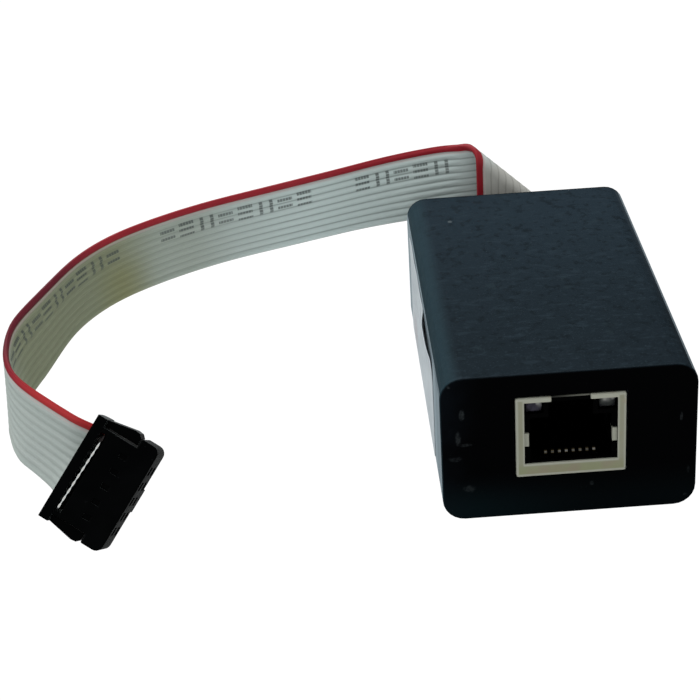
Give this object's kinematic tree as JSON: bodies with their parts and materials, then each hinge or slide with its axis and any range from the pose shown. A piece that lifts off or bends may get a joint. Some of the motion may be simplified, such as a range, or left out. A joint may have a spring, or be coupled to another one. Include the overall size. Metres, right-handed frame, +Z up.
{
  "type": "in-circuit programmer",
  "caption": "Small black box with a shielded modular jack at the front, and a grey ribbon lead with a red edge, folded at the back, that ends in a black insulation-displacement socket.",
  "frame": {"origin": "centre of the case's flat bottom face, on the surface it rests on", "axes": "+Z up, -Y out of the modular jack, +X to the right when looking into the jack; the ribbon loops out to -X"},
  "size_m": [0.1051, 0.0819, 0.0303],
  "materials": {
    "case_slate": "fine spark-eroded grain",
    "panel_black": "satin moulded",
    "label_paper": "coated, blank",
    "board_laminate": "solder mask",
    "chip_epoxy": "moulded epoxy",
    "can_metal": "drawn",
    "shield_tin": "tin plated sheet",
    "light_pipe": "clear",
    "contact_gold": "gold flashed",
    "ribbon_pvc": "soft PVC, red edge conductor",
    "socket_black": "glass-filled moulding"
  },
  "bodies": {
    "case": {"case_shell": "case_slate", "rear_panel": "panel_black", "side_label": "label_paper", "main_board": "board_laminate", "microcontroller": "chip_epoxy", "network_controller": "chip_epoxy", "line_transformer": "chip_epoxy", "crystal_can": "can_metal", "voltage_regulator": "chip_epoxy", "bulk_capacitor": "can_metal", "jack_shield": "shield_tin", "jack_housing": "panel_black", "indicator_left": "light_pipe", "indicator_right": "light_pipe", "usb_shell": "shield_tin", "usb_tongue": "panel_black", "board_connector_body": "socket_black", "board_connector_cover": "socket_black", "board_pin_1": "shield_tin", "board_pin_2": "shield_tin", "board_pin_3": "shield_tin", "board_pin_4": "shield_tin", "board_pin_5": "shield_tin", "board_pin_6": "shield_tin", "board_pin_7": "shield_tin", "board_pin_8": "shield_tin", "board_pin_9": "shield_tin", "board_pin_10": "shield_tin", "ribbon_case_end": "ribbon_pvc"},
    "jack_contacts": {"jack_contact_1": "contact_gold", "jack_contact_2": "contact_gold", "jack_contact_3": "contact_gold", "jack_contact_4": "contact_gold", "jack_contact_5": "contact_gold", "jack_contact_6": "contact_gold", "jack_contact_7": "contact_gold", "jack_contact_8": "contact_gold"},
    "left_spring": {"shield_spring_left": "shield_tin"},
    "right_spring": {"shield_spring_right": "shield_tin"},
    "ribbon_first": {"ribbon_run": "ribbon_pvc"},
    "ribbon_second": {"ribbon_curve": "ribbon_pvc"},
    "ribbon_third": {"ribbon_loop": "ribbon_pvc"},
    "plug": {"ribbon_plug_end": "ribbon_pvc", "socket_body": "socket_black", "socket_cover": "socket_black", "socket_contact_1": "contact_gold", "socket_contact_2": "contact_gold", "socket_contact_3": "contact_gold", "socket_contact_4": "contact_gold", "socket_contact_5": "contact_gold", "socket_contact_6": "contact_gold", "socket_contact_7": "contact_gold", "socket_contact_8": "contact_gold", "socket_contact_9": "contact_gold", "socket_contact_10": "contact_gold"}
  },
  "joints": [
    {"name": "ribbon_swing", "type": "hinge", "parent": "case", "child": "ribbon_first", "pos_m": [-0.01729, 0.04044, 0.02318], "axis": [0.0669, -0.0543, -0.9963], "range_deg": [-8, 15], "stiffness_Nm_per_rad": 0.03},
    {"name": "ribbon_bend", "type": "hinge", "parent": "ribbon_first", "child": "ribbon_second", "pos_m": [-0.05474, 0.02996, 0.02083], "axis": [0.0236, 0.1324, -0.9909], "range_deg": [-10, 15], "stiffness_Nm_per_rad": 0.03},
    {"name": "ribbon_curl", "type": "hinge", "parent": "ribbon_second", "child": "ribbon_third", "pos_m": [-0.08101, 0.00247, 0.0168], "axis": [0.1619, 0.0598, -0.985], "range_deg": [-15, 15], "stiffness_Nm_per_rad": 0.03},
    {"name": "plug_tilt", "type": "hinge", "parent": "ribbon_third", "child": "plug", "pos_m": [-0.07313, -0.02506, 0.0103], "axis": [-0.504, -0.2098, -0.8379], "range_deg": [-20, 20], "stiffness_Nm_per_rad": 0.02},
    {"name": "contact_press", "type": "hinge", "parent": "case", "child": "jack_contacts", "pos_m": [0.0002, -0.03145, 0.0102], "axis": [1, 0, 0], "range_deg": [-8, 0], "stiffness_Nm_per_rad": 0.005},
    {"name": "left_spring_flex", "type": "hinge", "parent": "case", "child": "left_spring", "pos_m": [-0.00655, -0.0279, 0.0129], "axis": [0, 0, 1], "range_deg": [-5, 0]},
    {"name": "right_spring_flex", "type": "hinge", "parent": "case", "child": "right_spring", "pos_m": [0.00695, -0.0279, 0.0129], "axis": [0, 0, 1], "range_deg": [0, 5]}
  ]
}
